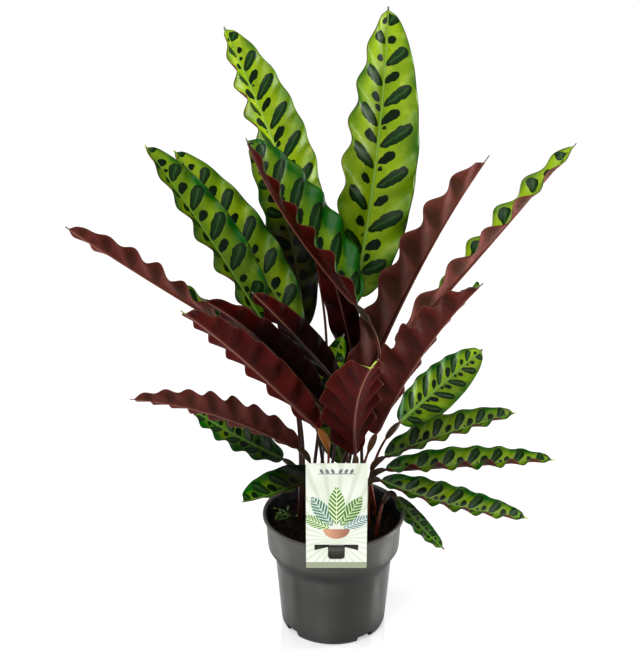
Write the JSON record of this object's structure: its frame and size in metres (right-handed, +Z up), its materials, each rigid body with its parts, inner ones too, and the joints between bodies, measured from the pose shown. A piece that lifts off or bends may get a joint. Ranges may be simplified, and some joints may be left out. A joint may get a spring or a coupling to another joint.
{
  "type": "potted calathea plant",
  "caption": "Potted calathea with upright, wavy, lance-shaped leaves, patterned above and wine-red below, in a tapered plastic nursery pot with a hanging label.",
  "frame": {"origin": "middle of the flat underside of the pot", "axes": "+Z up along the pot's axis, -Y towards the front, where the label hangs, +X to the right seen from the front"},
  "size_m": [0.4658, 0.2699, 0.6003],
  "materials": {
    "pot_plastic": "satin dark grey",
    "soil_mix": "rough, crumbly, nearly black",
    "label_card": "semi-gloss coated card",
    "leaf": "satin, yellow-green with dark oval blotches above, wine-red below"
  },
  "bodies": {
    "root": {"pot": "pot_plastic", "soil": "soil_mix", "label": "label_card", "leaf_01": "leaf", "leaf_02": "leaf", "leaf_03": "leaf", "leaf_04": "leaf", "leaf_05": "leaf", "leaf_06": "leaf", "leaf_07": "leaf", "leaf_08": "leaf", "leaf_09": "leaf", "leaf_10": "leaf", "leaf_11": "leaf", "leaf_12": "leaf", "leaf_13": "leaf", "leaf_14": "leaf", "leaf_15": "leaf", "leaf_16": "leaf", "leaf_17": "leaf", "leaf_18": "leaf", "leaf_19": "leaf", "leaf_20": "leaf", "leaf_21": "leaf", "leaf_22": "leaf", "leaf_23": "leaf", "leaf_24": "leaf"}
  },
  "joints": []
}
